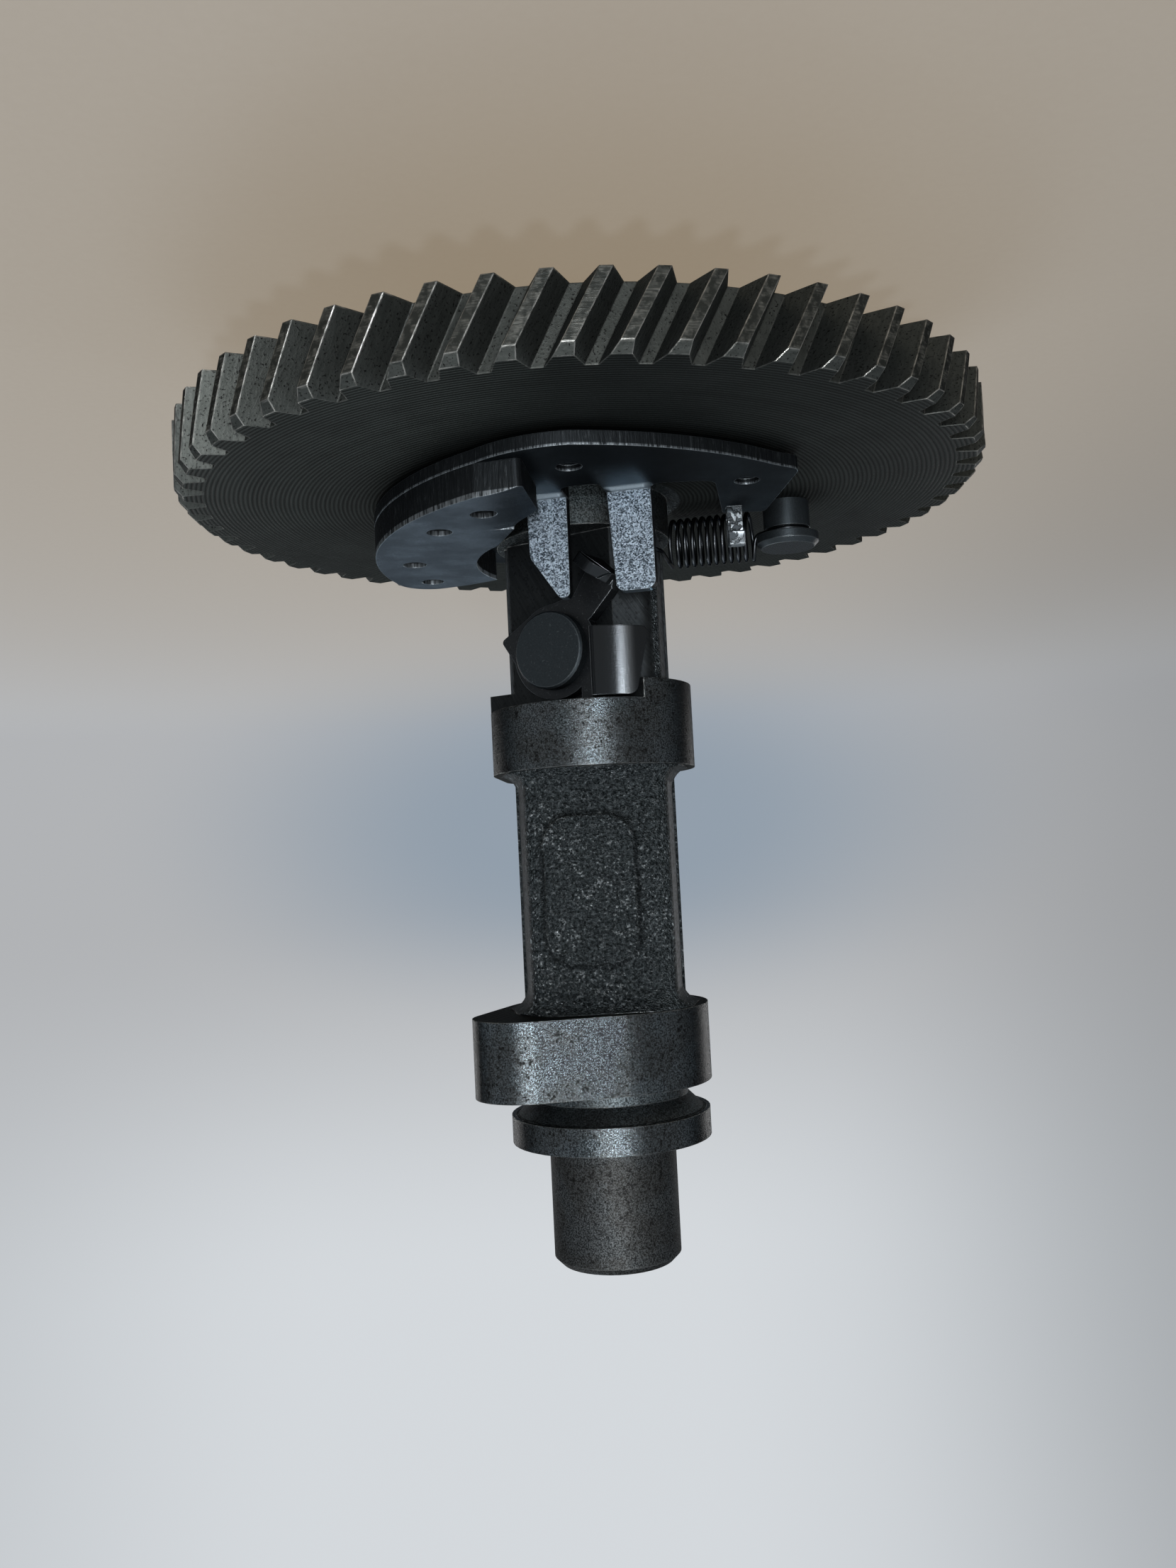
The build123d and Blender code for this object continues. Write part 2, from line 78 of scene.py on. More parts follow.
WING_RADIUS, WING_OUTER_AZIMUTH = 13.4, -124.0
WING_ROLL = -6.8
WING_WEAR_AND_PAINTED_HIGHLIGHT = (0.20, 0.32)
RING_PITCH = 0.55
TAB_X, TAB_REACH = -19.4, 1.2
# spans of the two fingers along their plane, and of the wing's band of wear and painted highlight in radians
LEFT_FINGER, RIGHT_FINGER = (-1.05, 4.0), (-11.35, -5.95)


def polar(radius, azimuth):
    """Plan point at a radius and an azimuth in degrees."""
    return Vector((radius * cos(radians(azimuth)), radius * sin(radians(azimuth)), 0.0))


# ---------------------------------------------------------------- camera
CAMERA_PLACE = (0.0, -0.164156, 0.070868)
CAMERA_FORWARD, CAMERA_UP = (0.0054, 0.9979, -0.0638), (-0.0502, -0.0635, -0.9967)
CAMERA_LENS, CAMERA_SENSOR = 29.183, 36.0

camera_data = bpy.data.cameras.new("camera")
camera_data.sensor_width = CAMERA_SENSOR
camera_data.lens = CAMERA_LENS
camera_data.clip_start = 0.005
camera_data.clip_end = 20.0
camera = bpy.data.objects.new("camera", camera_data)
bpy.context.scene.collection.objects.link(camera)
forward = Vector(CAMERA_FORWARD).normalized()
image_up = Vector(CAMERA_UP)
image_right = forward.cross(image_up).normalized()
image_up = image_right.cross(forward).normalized()
camera.matrix_world = Matrix.Translation(CAMERA_PLACE) @ Matrix((
    (image_right.x, image_up.x, -forward.x, 0.0),
    (image_right.y, image_up.y, -forward.y, 0.0),
    (image_right.z, image_up.z, -forward.z, 0.0),
    (0.0, 0.0, 0.0, 1.0),
))
bpy.context.scene.camera = camera
bpy.context.scene.view_settings.view_transform = "Standard"


# ---------------------------------------------------------------- node writing
class Nodes:
    """Writes a node tree; every value may be a socket or a plain number."""

    def __init__(self, tree):
        self.tree = tree
        self.tree.nodes.clear()

    def add(self, kind, **settings):
        node = self.tree.nodes.new("ShaderNode" + kind)
        for name, value in settings.items():
            setattr(node, name, value)
        return node

    def put(self, socket, value):
        if isinstance(value, bpy.types.NodeSocket):
            self.tree.links.new(value, socket)
        elif value is not None:
            socket.default_value = value

    def math(self, operation, *values, clamp=False):
        node = self.add("Math", operation=operation, use_clamp=clamp)
        for socket, value in zip(node.inputs, values):
            self.put(socket, value)
        return node.outputs[0]

    def vector(self, operation, *values, scale=None):
        node = self.add("VectorMath", operation=operation)
        for socket, value in zip(node.inputs, values):
            self.put(socket, value)
        if scale is not None:
            self.put(node.inputs["Scale"], scale)
        return node.outputs["Value" if operation in ("DOT_PRODUCT", "LENGTH", "DISTANCE") else "Vector"]

    def split(self, vector):
        node = self.add("SeparateXYZ")
        self.put(node.inputs[0], vector)
        return node.outputs[0], node.outputs[1], node.outputs[2]

    def join(self, x, y, z):
        node = self.add("CombineXYZ")
        for socket, value in zip(node.inputs, (x, y, z)):
            self.put(socket, value)
        return node.outputs[0]

    def ramp(self, value, low, high, out_low=0.0, out_high=1.0):
        """Smooth step of a value from low to high."""
        node = self.add("MapRange", interpolation_type="SMOOTHSTEP")
        for name, number in (
            ("Value", value),
            ("From Min", low),
            ("From Max", high),
            ("To Min", out_low),
            ("To Max", out_high),
        ):
            self.put(node.inputs[name], number)
        return node.outputs[0]

    def band(self, value, low, high, soft=0.05):
        """One between low and high, zero outside."""
        above = self.ramp(value, low - soft, low + soft)
        below = self.ramp(value, high + soft, high - soft)
        return self.math("MULTIPLY", above, below)

    def around(self, value, low, high):
        """One from low to high with both ends included, zero outside."""
        return self.band(value, low - 0.06, high + 0.06, 0.03)

    def noise(self, place, scale, detail=2.0, roughness=0.5, distortion=0.0):
        node = self.add("TexNoise")
        self.put(node.inputs["Vector"], place)
        self.put(node.inputs["Scale"], scale)
        self.put(node.inputs["Detail"], detail)
        self.put(node.inputs["Roughness"], roughness)
        self.put(node.inputs["Distortion"], distortion)
        return node.outputs[0]

    def mix(self, share, a, b):
        """Colour or number between a and b."""
        coloured = any(isinstance(v, tuple) or (hasattr(v, "type") and v.type == "RGBA") for v in (a, b))
        node = self.add("Mix", data_type="RGBA" if coloured else "FLOAT")
        first, second = (6, 7) if coloured else (2, 3)
        self.put(node.inputs[0], share)
        self.put(node.inputs[first], rgba(a))
        self.put(node.inputs[second], rgba(b))
        return node.outputs[2 if coloured else 0]

    def scaled(self, colour, factor):
        """Colour times a number."""
        node = self.add("Mix", data_type="RGBA", blend_type="MULTIPLY")
        node.inputs[0].default_value = 1.0
        self.put(node.inputs[6], rgba(colour))
        self.put(node.inputs[7], (factor, factor, factor, 1.0))
        return node.outputs[2]


def rgba(value):
    return (*value, 1.0) if isinstance(value, tuple) and len(value) == 3 else value


DARK_GRAZING = (0.14, 0.14, 0.14, 1.0)


class Finish(Nodes):
    """A Principled material in the frame of the part, with places in millimetres."""

    def __init__(self, name, **constants):
        self.material = bpy.data.materials.new(name)
        self.material.use_nodes = True
        super().__init__(self.material.node_tree)
        self.shader = self.add("BsdfPrincipled")
        self.tree.links.new(self.shader.outputs[0], self.add("OutputMaterial").inputs[0])
        coordinates = self.add("TexCoord")
        self.place = self.vector("SCALE", coordinates.outputs["Object"], scale=1000.0)
        self.x, self.y, self.z = self.split(self.place)
        self.facing = coordinates.outputs["Normal"]
        self.nx, self.ny, self.nz = self.split(self.facing)
        self.radius = self.vector("LENGTH", self.join(self.x, self.y, 0.0))
        self.azimuth = self.math("ARCTAN2", self.y, self.x)
        for socket, value in constants.items():
            self.shader.inputs[socket.replace("_", " ").title().replace("Ior", "IOR")].default_value = value
        self.shader.inputs["Specular Tint"].default_value = DARK_GRAZING

    def grains(self, scale):
        """Random number of each grain, and the distance from its middle."""
        node = self.add("TexVoronoi")
        self.put(node.inputs["Vector"], self.place)
        self.put(node.inputs["Scale"], scale)
        return self.split(node.outputs["Color"])[0], node.outputs["Distance"]

    def pad_outline(self):
        """Distance outward from the rounded outline of the cast pad, large away from its face."""
        across = self.math("ABSOLUTE", self.math("SUBTRACT", self.x, PAD_MIDDLE[0]))
        along = self.math("ABSOLUTE", self.math("SUBTRACT", self.z, PAD_MIDDLE[1]))
        beyond = self.join(
            self.math("MAXIMUM", self.math("SUBTRACT", across, PAD_SIZE[0] / 2 - PAD_CORNER), 0.0),
            self.math("MAXIMUM", self.math("SUBTRACT", along, PAD_SIZE[1] / 2 - PAD_CORNER), 0.0),
            self.ramp(self.y, PAD_FACE + 0.6, PAD_FACE + 1.2, 0.0, 9.0),
        )
        return self.math("SUBTRACT", self.vector("LENGTH", beyond), PAD_CORNER)

    def edges(self, radius):
        """Share of an edge at a point, and the normal rounded over it."""
        rounded = self.add("Bevel", samples=4)
        rounded.inputs["Radius"].default_value = radius * MM
        sharp = self.add("NewGeometry")
        turn = self.vector("DOT_PRODUCT", rounded.outputs[0], sharp.outputs["Normal"])
        return self.ramp(turn, 0.995, 0.86), rounded.outputs[0]

    def finish(self, colour, roughness, height, normal=None):
        """Joins colour, roughness and a height in millimetres to the shader."""
        self.put(self.shader.inputs["Base Color"], rgba(colour))
        self.put(self.shader.inputs["Roughness"], roughness)
        bump = self.add("Bump")
        bump.inputs["Distance"].default_value = MM
        self.put(bump.inputs["Height"], height)
        self.put(bump.inputs["Normal"], normal)
        self.put(self.shader.inputs["Normal"], bump.outputs[0])
        return self.material


def layered(nodes, mask, under, over):
    """Colour, roughness and height of one finish laid over another by a mask."""
    return tuple(nodes.mix(mask, a, b) for a, b in zip(under, over))


# ---------------------------------------------------------------- colours of the finishes, linear
BLACK = (0.0, 0.0, 0.0)
CAST_DARK, CAST_LIGHT = (0.010, 0.013, 0.014), (0.068, 0.080, 0.086)
CAST_PAINTED_GLINT = (0.38, 0.42, 0.44)
PAD_SHADOW = (0.010, 0.012, 0.013)
BROWN_FILM = (0.036, 0.033, 0.029)
BLACK_MOTTLE = (0.009, 0.009, 0.009)
SIDE_PAINTED_SHADE = (0.008, 0.009, 0.010)
FLANK_DARK, FLANK_LIGHT = (0.030, 0.034, 0.032), (0.095, 0.103, 0.098)
FLANK_SPOT = (0.010, 0.010, 0.010)
LAND_DARK, LAND_LIGHT = (0.060, 0.065, 0.062), (0.17, 0.175, 0.165)
LAND_DULL = (0.040, 0.044, 0.042)
MILLED_DARK, MILLED_LIGHT = (0.006, 0.007, 0.008), (0.032, 0.036, 0.038)
MILLED_SPOT = (0.011, 0.012, 0.013)
STRIP_DARK, STRIP_LIGHT = (0.024, 0.028, 0.030), (0.15, 0.165, 0.18)
HUB_TONE = (0.034, 0.041, 0.043)
NECK_TONE = (0.062, 0.074, 0.080)
JOURNAL_TONE = (0.044, 0.048, 0.050)
LOBE_TONE = (0.057, 0.067, 0.073)
TURNED_TONE = (0.027, 0.031, 0.030)
EDGE_WEAR_AND_PAINTED_HIGHLIGHT, TOOTH_EDGE_WEAR_AND_PAINTED_HIGHLIGHT = (0.24, 0.25, 0.245), (0.62, 0.62, 0.59)
SHEARED_DARK, SHEARED_LIGHT = (0.007, 0.008, 0.009), (0.058, 0.066, 0.072)
SHEARED_TORN = (0.10, 0.112, 0.12)
BURNISHED = (0.36, 0.40, 0.43)
FROST_DARK, FROST_LIGHT = (0.036, 0.048, 0.060), (0.42, 0.50, 0.58)
BREAK_DULL, BREAK_BRIGHT = (0.07, 0.080, 0.088), (0.60, 0.66, 0.70)
STEEL_EDGE = (0.24, 0.27, 0.29)
OXIDE_SPECK = (0.16, 0.18, 0.19)
LEVER_DARK, LEVER_LIGHT = (0.016, 0.018, 0.020), (0.040, 0.044, 0.048)
LEVER_SPECK = (0.14, 0.155, 0.165)
LEVER_PAINTED_SHEEN = (0.085, 0.094, 0.10)
LEVER_EDGE = (0.20, 0.22, 0.235)
WING_TONE = (0.022, 0.025, 0.028)
WING_WEAR_AND_PAINTED_HIGHLIGHT_TONE = (0.14, 0.152, 0.162)
WIRE_DARK, WIRE_LIGHT = (0.022, 0.025, 0.028), (0.085, 0.092, 0.10)
PLATE_TONE = (0.040, 0.049, 0.056)
WEIGHT_TONE = (0.110, 0.134, 0.157)
PIVOT_TONE, PIVOT_EDGE = (0.04, 0.046, 0.05), (0.16, 0.175, 0.185)
PIN_TONE, PIN_EDGE = (0.030, 0.037, 0.042), (0.15, 0.17, 0.185)
POST_TONE, POST_EDGE = (0.045, 0.054, 0.060), (0.18, 0.20, 0.21)


# ---------------------------------------------------------------- finishes of the iron shaft
def rough_cast(f):
    """Sand-cast skin: lumps with small grains, a few of them lightened in colour as painted glints."""
    chance, hollow = f.grains(4.2)
    lumps = f.noise(f.place, 1.3, 4.0, 0.65)
    height = f.math("SUBTRACT", f.math("MULTIPLY", lumps, 0.62), f.math("MULTIPLY", hollow, 0.20))
    pad = f.pad_outline()
    height = f.math("ADD", height, f.ramp(pad, 0.45, -0.25, 0.0, 0.35))
    patch = f.ramp(f.noise(f.place, 0.16, 3.0), 0.36, 0.60, 1.0, 0.3)
    # painted glints: sparse grains given a bright colour, as if they caught the light
    painted_glint = f.math("MULTIPLY", f.ramp(chance, 0.60, 1.0), f.ramp(lumps, 0.46, 0.62))
    painted_glint = f.math("MULTIPLY", painted_glint, patch)
    skin = f.noise(f.place, 2.6, 4.0, 0.65)
    colour = f.mix(f.ramp(skin, 0.30, 0.68), CAST_DARK, CAST_LIGHT)
    colour = f.mix(painted_glint, colour, CAST_PAINTED_GLINT)
    colour = f.mix(f.math("MULTIPLY", f.band(pad, 0.10, 0.60, 0.25), 0.6), colour, PAD_SHADOW)
    return colour, f.mix(painted_glint, 0.46, 0.26), height


def ground(f, tone, blotch, roughness, side_shade=0.0):
    """Ground running surface: fine rings, black mottle in clusters, a brown tint and small scratches, with
    painted shade on the faces turned towards ±X.
    """
    rings = f.noise(
        f.join(f.math("MULTIPLY", f.azimuth, 3.0), 0.0, f.math("MULTIPLY", f.z, 9.0)), 1.0, 3.0, 0.6
    )
    stain = f.noise(f.place, 1.7, 5.0, 0.68)
    cluster = f.ramp(f.noise(f.place, 0.20, 3.0, 0.6), 0.38, 0.62)
    fine = f.noise(f.place, 5.5, 4.0, 0.65)
    mottle = f.ramp(f.math("ADD", stain, f.math("MULTIPLY", cluster, 0.10)), 0.62, 0.72, 0.0, blotch)
    colour = f.mix(rings, f.scaled(tone, 0.75), f.scaled(tone, 1.25))
    colour = f.mix(f.ramp(fine, 0.40, 0.62), f.scaled(colour, 0.35), f.scaled(colour, 2.1))
    colour = f.mix(f.math("MULTIPLY", cluster, 0.35), colour, BROWN_FILM)
    colour = f.mix(mottle, colour, BLACK_MOTTLE)
    # painted shade: faces turned towards ±X darkened, by the share given in the last argument
    colour = f.mix(f.ramp(f.math("ABSOLUTE", f.nx), 0.55, 0.97, 0.0, side_shade), colour, SIDE_PAINTED_SHADE)
    height = f.math("ADD", f.math("MULTIPLY", rings, 0.014), f.math("MULTIPLY", fine, 0.035))
    height = f.math("ADD", height, f.math("MULTIPLY", stain, 0.02))
    return colour, f.mix(mottle, roughness, 0.55), height


def turned(f, tone):
    """Turned face: feed rings about the axis under a thin cloudy haze, with painted shade darkening it
    towards the hub.
    """
    feed = f.noise(
        f.join(f.math("MULTIPLY", f.radius, 2.2), f.math("MULTIPLY", f.azimuth, 0.6), 0.0), 1.0, 4.0, 0.7
    )
    rings = f.math("SINE", f.math("MULTIPLY", f.radius, 2.0 * pi / RING_PITCH))
    cloud = f.noise(f.place, 0.16, 4.0, 0.6)
    grain = f.noise(f.place, 6.0, 2.0)
    light = f.math("ADD", f.math("MULTIPLY", feed, 0.35), f.math("MULTIPLY", cloud, 0.30))
    light = f.math("ADD", light, f.math("MULTIPLY", rings, 0.20))
    light = f.math("ADD", light, f.math("MULTIPLY", grain, 0.35))
    # painted shade: the face darker towards the hub, where the plate and shaft shade it
    outer = f.ramp(f.radius, 22.0, 44.0, 0.72, 1.12)
    colour = f.mix(f.ramp(light, 0.20, 0.80), f.scaled(tone, 0.5), f.scaled(tone, 1.5))
    colour = f.mix(outer, BLACK, colour)
    height = f.math("ADD", f.math("MULTIPLY", rings, 0.014), f.math("MULTIPLY", feed, 0.03))
    height = f.math("ADD", height, f.math("MULTIPLY", grain, 0.02))
    return colour, f.mix(grain, 0.46, 0.60), height


def tooth_flank(f):
    """Hobbed flank: dull grey with faint runs along the tooth and black spots."""
    along = f.join(
        f.math("MULTIPLY", f.azimuth, 40.0), f.math("MULTIPLY", f.radius, 3.0), f.math("MULTIPLY", f.z, 0.5)
    )
    streak = f.noise(along, 1.0, 3.0, 0.6)
    grain = f.noise(f.place, 4.0, 4.0, 0.6)
    colour = f.mix(streak, FLANK_DARK, FLANK_LIGHT)
    colour = f.mix(f.ramp(grain, 0.56, 0.66), colour, FLANK_SPOT)
    height = f.math("ADD", f.math("MULTIPLY", streak, 0.012), f.math("MULTIPLY", grain, 0.03))
    return colour, f.mix(grain, 0.42, 0.60), height


def tooth_land(f):
    """Worn tooth tip: bright, with short marks across it."""
    across = f.join(f.math("MULTIPLY", f.azimuth, 20.0), f.math("MULTIPLY", f.z, 4.5), 0.0)
    marks = f.noise(across, 1.0, 4.0, 0.7)
    wear = f.ramp(f.noise(f.place, 1.1, 4.0, 0.6), 0.40, 0.62)
    bright = f.mix(f.ramp(marks, 0.38, 0.68), LAND_DARK, LAND_LIGHT)
    return f.mix(wear, LAND_DULL, bright), f.mix(marks, 0.46, 0.32), f.math("MULTIPLY", marks, 0.03)


def milled(f):
    """Milled flat: diagonal cutter marks on dark iron."""
    across = f.vector("DOT_PRODUCT", f.place, tuple(polar(1.0, FLAT_AZIMUTH + 90.0)))
    slant = f.math("ADD", f.math("MULTIPLY", across, 1.6), f.math("MULTIPLY", f.z, 0.9))
    marks = f.noise(
        f.join(f.math("MULTIPLY", slant, 1.5), f.math("MULTIPLY", across, 0.15), 0.0), 1.0, 4.0, 0.65
    )
    spots = f.noise(f.place, 2.4, 3.0)
    colour = f.mix(marks, MILLED_DARK, MILLED_LIGHT)
    colour = f.mix(f.ramp(spots, 0.55, 0.70), colour, MILLED_SPOT)
    return colour, f.mix(spots, 0.38, 0.56), f.math("MULTIPLY", marks, 0.04)


def parting_strip(f):
    """Ground-off parting line: paler, with striations across it."""
    marks = f.noise(
        f.join(f.math("MULTIPLY", f.y, 0.3), 0.0, f.math("MULTIPLY", f.z, 2.2)), 1.0, 4.0, 0.7
    )
    colour = f.mix(f.ramp(marks, 0.35, 0.62), STRIP_DARK, STRIP_LIGHT)
    return colour, f.mix(marks, 0.50, 0.34), f.math("MULTIPLY", marks, 0.05)


def iron_shaft():
    f = Finish("shaft_iron", metallic=0.9)
    edge, rounded = f.edges(0.22)
    flat_on = f.ramp(f.math("ABSOLUTE", f.nz), 0.75, 0.9)
    outer = f.ramp(f.radius, BOSS_RADIUS + 0.2, BOSS_RADIUS + 0.6)
    gear_zone = f.math("MULTIPLY", f.band(f.z, GEAR_BACK - 0.3, GEAR_FRONT + 0.2, 0.1), outer)
    tooth_zone = f.math("MULTIPLY", gear_zone, f.ramp(f.radius, ROOT_RADIUS - 0.3, ROOT_RADIUS - 0.1))
    land_zone = f.math("MULTIPLY", tooth_zone, f.ramp(f.radius, TIP_RADIUS - 0.22, TIP_RADIUS - 0.08))
    land_zone = f.math("MULTIPLY", land_zone, f.math("SUBTRACT", 1.0, flat_on))
    end_journal = f.ramp(f.z, COLLAR[1] + 0.05, COLLAR[1] - 0.05, 1.0, 0.0)
    gear_journal = f.ramp(f.z, GEAR_BACK, GEAR_BACK - 0.1)
    journals = f.math("MAXIMUM", end_journal, gear_journal)
    lobes = f.math("MAXIMUM", f.around(f.z, *UPPER_LOBE), f.around(f.z, *LOWER_LOBE))
    collar_zone = f.math("MULTIPLY", f.around(f.z, *COLLAR), f.ramp(f.radius, 12.0, 12.2))
    hub_zone = f.band(f.z, GEAR_FRONT, HUB_END, 0.05)
    neck_zone = f.band(f.z, LOWER_LOBE[1] + 0.1, COLLAR[0] - 0.05, 0.03)
    # the ground-off strip is real on both sides; laying it fully on -X and at 0.3 on +X is painted light on
    # the -X side
    trimmed_and_painted_side_light = f.math("ADD", f.ramp(f.nx, -0.95, -0.98), f.ramp(f.nx, 0.95, 0.98, 0.0, 0.3), clamp=True)
    strip_zone = f.math("MULTIPLY", trimmed_and_painted_side_light, f.band(f.z, HUB_END, LOWER_LOBE[0], 0.05))
    flat_normal = tuple(polar(1.0, FLAT_AZIMUTH))
    off_flat = f.vector("DOT_PRODUCT", f.place, flat_normal)
    on_flat = f.math(
        "MULTIPLY", f.band(off_flat, FLAT_DISTANCE - 0.15, FLAT_DISTANCE + 0.15, 0.03),
        f.ramp(f.vector("DOT_PRODUCT", f.facing, flat_normal), 0.9, 0.97),
    )
    on_flat = f.math("MULTIPLY", on_flat, f.band(f.z, HUB_END - 0.1, LEDGE + 0.1, 0.05))
    face = rough_cast(f)
    face = layered(f, hub_zone, face, ground(f, HUB_TONE, 0.8, 0.40))
    face = layered(f, neck_zone, face, ground(f, NECK_TONE, 0.5, 0.46))
    face = layered(f, journals, face, ground(f, JOURNAL_TONE, 0.8, 0.54))
    face = layered(f, f.math("MAXIMUM", lobes, collar_zone), face, ground(f, LOBE_TONE, 0.9, 0.21, 0.75))
    face = layered(f, strip_zone, face, parting_strip(f))
    above_hub = f.math("MULTIPLY", f.band(f.z, HUB_END - 0.1, UPPER_LOBE[0] - 0.1), f.ramp(f.ny, -0.6, -0.9))
    face = layered(f, f.math("MAXIMUM", on_flat, above_hub), face, milled(f))
    turned_zone = f.math("MULTIPLY", flat_on, f.math("MAXIMUM", gear_zone, lobes))
    face = layered(f, tooth_zone, face, tooth_flank(f))
    face = layered(f, turned_zone, face, turned(f, TURNED_TONE))
    face = layered(f, land_zone, face, tooth_land(f))
    upper_cast = f.band(f.z, HUB_END + 0.2, UPPER_LOBE[0] - 0.2)
    middle_cast = f.band(f.z, UPPER_LOBE[1] + 0.2, LOWER_LOBE[0] - 0.2)
    cast_zone = f.math("MAXIMUM", upper_cast, middle_cast)
    # wear and painted highlight: edges lighter in colour, partly rubbed steel and partly a painted highlight
    # where edges catch the light
    wear_and_painted_highlight = f.math("MULTIPLY", edge, f.math("SUBTRACT", 1.0, f.math("MULTIPLY", cast_zone, 0.8)))
    gear_rim = f.math("MULTIPLY", gear_zone, f.ramp(f.radius, TIP_RADIUS - 0.7, TIP_RADIUS - 1.3))
    wear_and_painted_highlight = f.math("MULTIPLY", wear_and_painted_highlight, f.math("SUBTRACT", 1.0, f.math("MULTIPLY", gear_rim, 0.85)))
    wear_and_painted_highlight = f.math("MULTIPLY", wear_and_painted_highlight, f.ramp(f.noise(f.place, 0.9, 3.0), 0.34, 0.62, 0.15, 1.0))
    colour = f.mix(wear_and_painted_highlight, face[0], f.mix(tooth_zone, EDGE_WEAR_AND_PAINTED_HIGHLIGHT, TOOTH_EDGE_WEAR_AND_PAINTED_HIGHLIGHT))
    return f.finish(colour, f.mix(wear_and_painted_highlight, face[1], 0.28), face[2], rounded)


# ---------------------------------------------------------------- finishes of the release parts
def stamped_steel(name, thickness, tone, frosted):
    """Pressed sheet: satin faces, sheared edges with a burnished line, frosted fingers."""
    f = Finish(name, metallic=0.95)
    edge, rounded = f.edges(0.16)
    low, high = thickness
    standing = f.ramp(f.math("ABSOLUTE", f.nz), 0.6, 0.3)
    fine = f.noise(f.place, 6.5, 4.0, 0.62)
    cloud = f.ramp(f.noise(f.place, 0.13, 4.0, 0.6), 0.36, 0.64)
    colour = f.mix(fine, f.scaled(tone, 0.7), f.scaled(tone, 1.35))
    colour = f.mix(f.math("MULTIPLY", cloud, 0.55), colour, f.scaled(tone, 0.5))
    face = (colour, f.mix(fine, 0.34, 0.50), f.math("MULTIPLY", fine, 0.016))
    across_x, across_y = f.math("MULTIPLY", f.x, 3.2), f.math("MULTIPLY", f.y, 3.2)
    upright = f.join(across_x, across_y, f.math("MULTIPLY", f.z, 0.35))
    strokes = f.noise(upright, 1.0, 3.0, 0.65)
    burnish = f.band(f.z, high - 0.16 * (high - low), high, 0.06)
    torn_edge = f.ramp(f.noise(f.place, 0.7, 4.0, 0.6), 0.44, 0.62)
    sheared = f.mix(strokes, SHEARED_DARK, SHEARED_LIGHT)
    sheared = f.mix(f.math("MULTIPLY", torn_edge, f.ramp(strokes, 0.5, 0.7)), sheared, SHEARED_TORN)
    sheared = f.mix(f.math("MULTIPLY", burnish, f.ramp(strokes, 0.35, 0.65)), sheared, BURNISHED)
    side = (sheared, f.mix(strokes, 0.50, 0.34), f.math("MULTIPLY", strokes, 0.07))
    face = layered(f, standing, face, side)
    if frosted:
        outward = f.vector("DOT_PRODUCT", f.facing, tuple(polar(1.0, FINGER_AZIMUTH)))
        off_plane = f.vector("DOT_PRODUCT", f.place, tuple(polar(1.0, FINGER_AZIMUTH)))
        on_plane = f.band(off_plane, FINGER_DISTANCE - 0.2, FINGER_DISTANCE + 0.2, 0.05)
        on_finger = f.math("MULTIPLY", f.ramp(outward, 0.90, 0.97), on_plane)
        on_finger = f.math("MULTIPLY", on_finger, f.ramp(f.z, PLATE_BOTTOM + 0.6, PLATE_TOP + 0.4))
        chance, _ = f.grains(6.5)
        uneven = f.math("MULTIPLY", f.noise(f.place, 3.6, 5.0, 0.7), 0.55)
        sparkle = f.math("ADD", uneven, f.math("MULTIPLY", chance, 0.45))
        frost = f.mix(f.ramp(sparkle, 0.28, 0.78), FROST_DARK, FROST_LIGHT)
        frosted_face = (frost, f.mix(sparkle, 0.46, 0.30), f.math("MULTIPLY", sparkle, 0.14))
        face = layered(f, on_finger, face, frosted_face)
        along = f.vector("DOT_PRODUCT", f.place, tuple(polar(1.0, FINGER_AZIMUTH + 90.0)))
        beside = f.math("MAXIMUM", f.band(along, *LEFT_FINGER, 0.8), f.band(along, *RIGHT_FINGER, 0.8))
        # painted sheen: the drawn metal beside the finger roots is lighter in colour, partly its satin
        # finish and partly a painted reflection
        drawn_and_painted_sheen = f.math("MULTIPLY", beside, f.ramp(off_plane, FINGER_DISTANCE + SATIN_AND_PAINTED_SHEEN_REACH, FINGER_DISTANCE))
        drawn_and_painted_sheen = f.math("MULTIPLY", drawn_and_painted_sheen, f.ramp(f.nz, 0.8, 0.95))
        satin = f.mix(fine, f.scaled(tone, 3.0), f.scaled(tone, 8.0))
        bend = f.ramp(off_plane, FINGER_DISTANCE + BEND_REACH, FINGER_DISTANCE - 0.1, 0.0, BEND_RISE)
        face = layered(f, drawn_and_painted_sheen, face, (satin, f.mix(fine, 0.36, 0.46), f.math("MULTIPLY", fine, 0.02)))
        face = (face[0], face[1], f.math("ADD", face[2], f.math("MULTIPLY", bend, drawn_and_painted_sheen)))
        above_plate = f.ramp(f.z, PLATE_TOP, PLATE_TOP + 0.8)
        tab = f.math("MULTIPLY", f.band(f.x, TAB_X - TAB_REACH, TAB_X + TAB_REACH), above_plate)
        torn = f.ramp(f.noise(f.place, 0.9, 4.0, 0.6, 0.5), 0.42, 0.54)
        torn = f.math("MULTIPLY", torn, f.ramp(f.z, PLATE_TOP + 4.2, PLATE_TOP + 2.8, 0.25, 1.0))
        break_face = f.mix(torn, BREAK_DULL, BREAK_BRIGHT)
        face = layered(f, tab, face, (break_face, f.mix(torn, 0.45, 0.28), f.math("MULTIPLY", torn, 0.25)))
    colour = f.mix(f.math("MULTIPLY", edge, 0.6), face[0], STEEL_EDGE)
    return f.finish(colour, face[1], face[2], rounded)


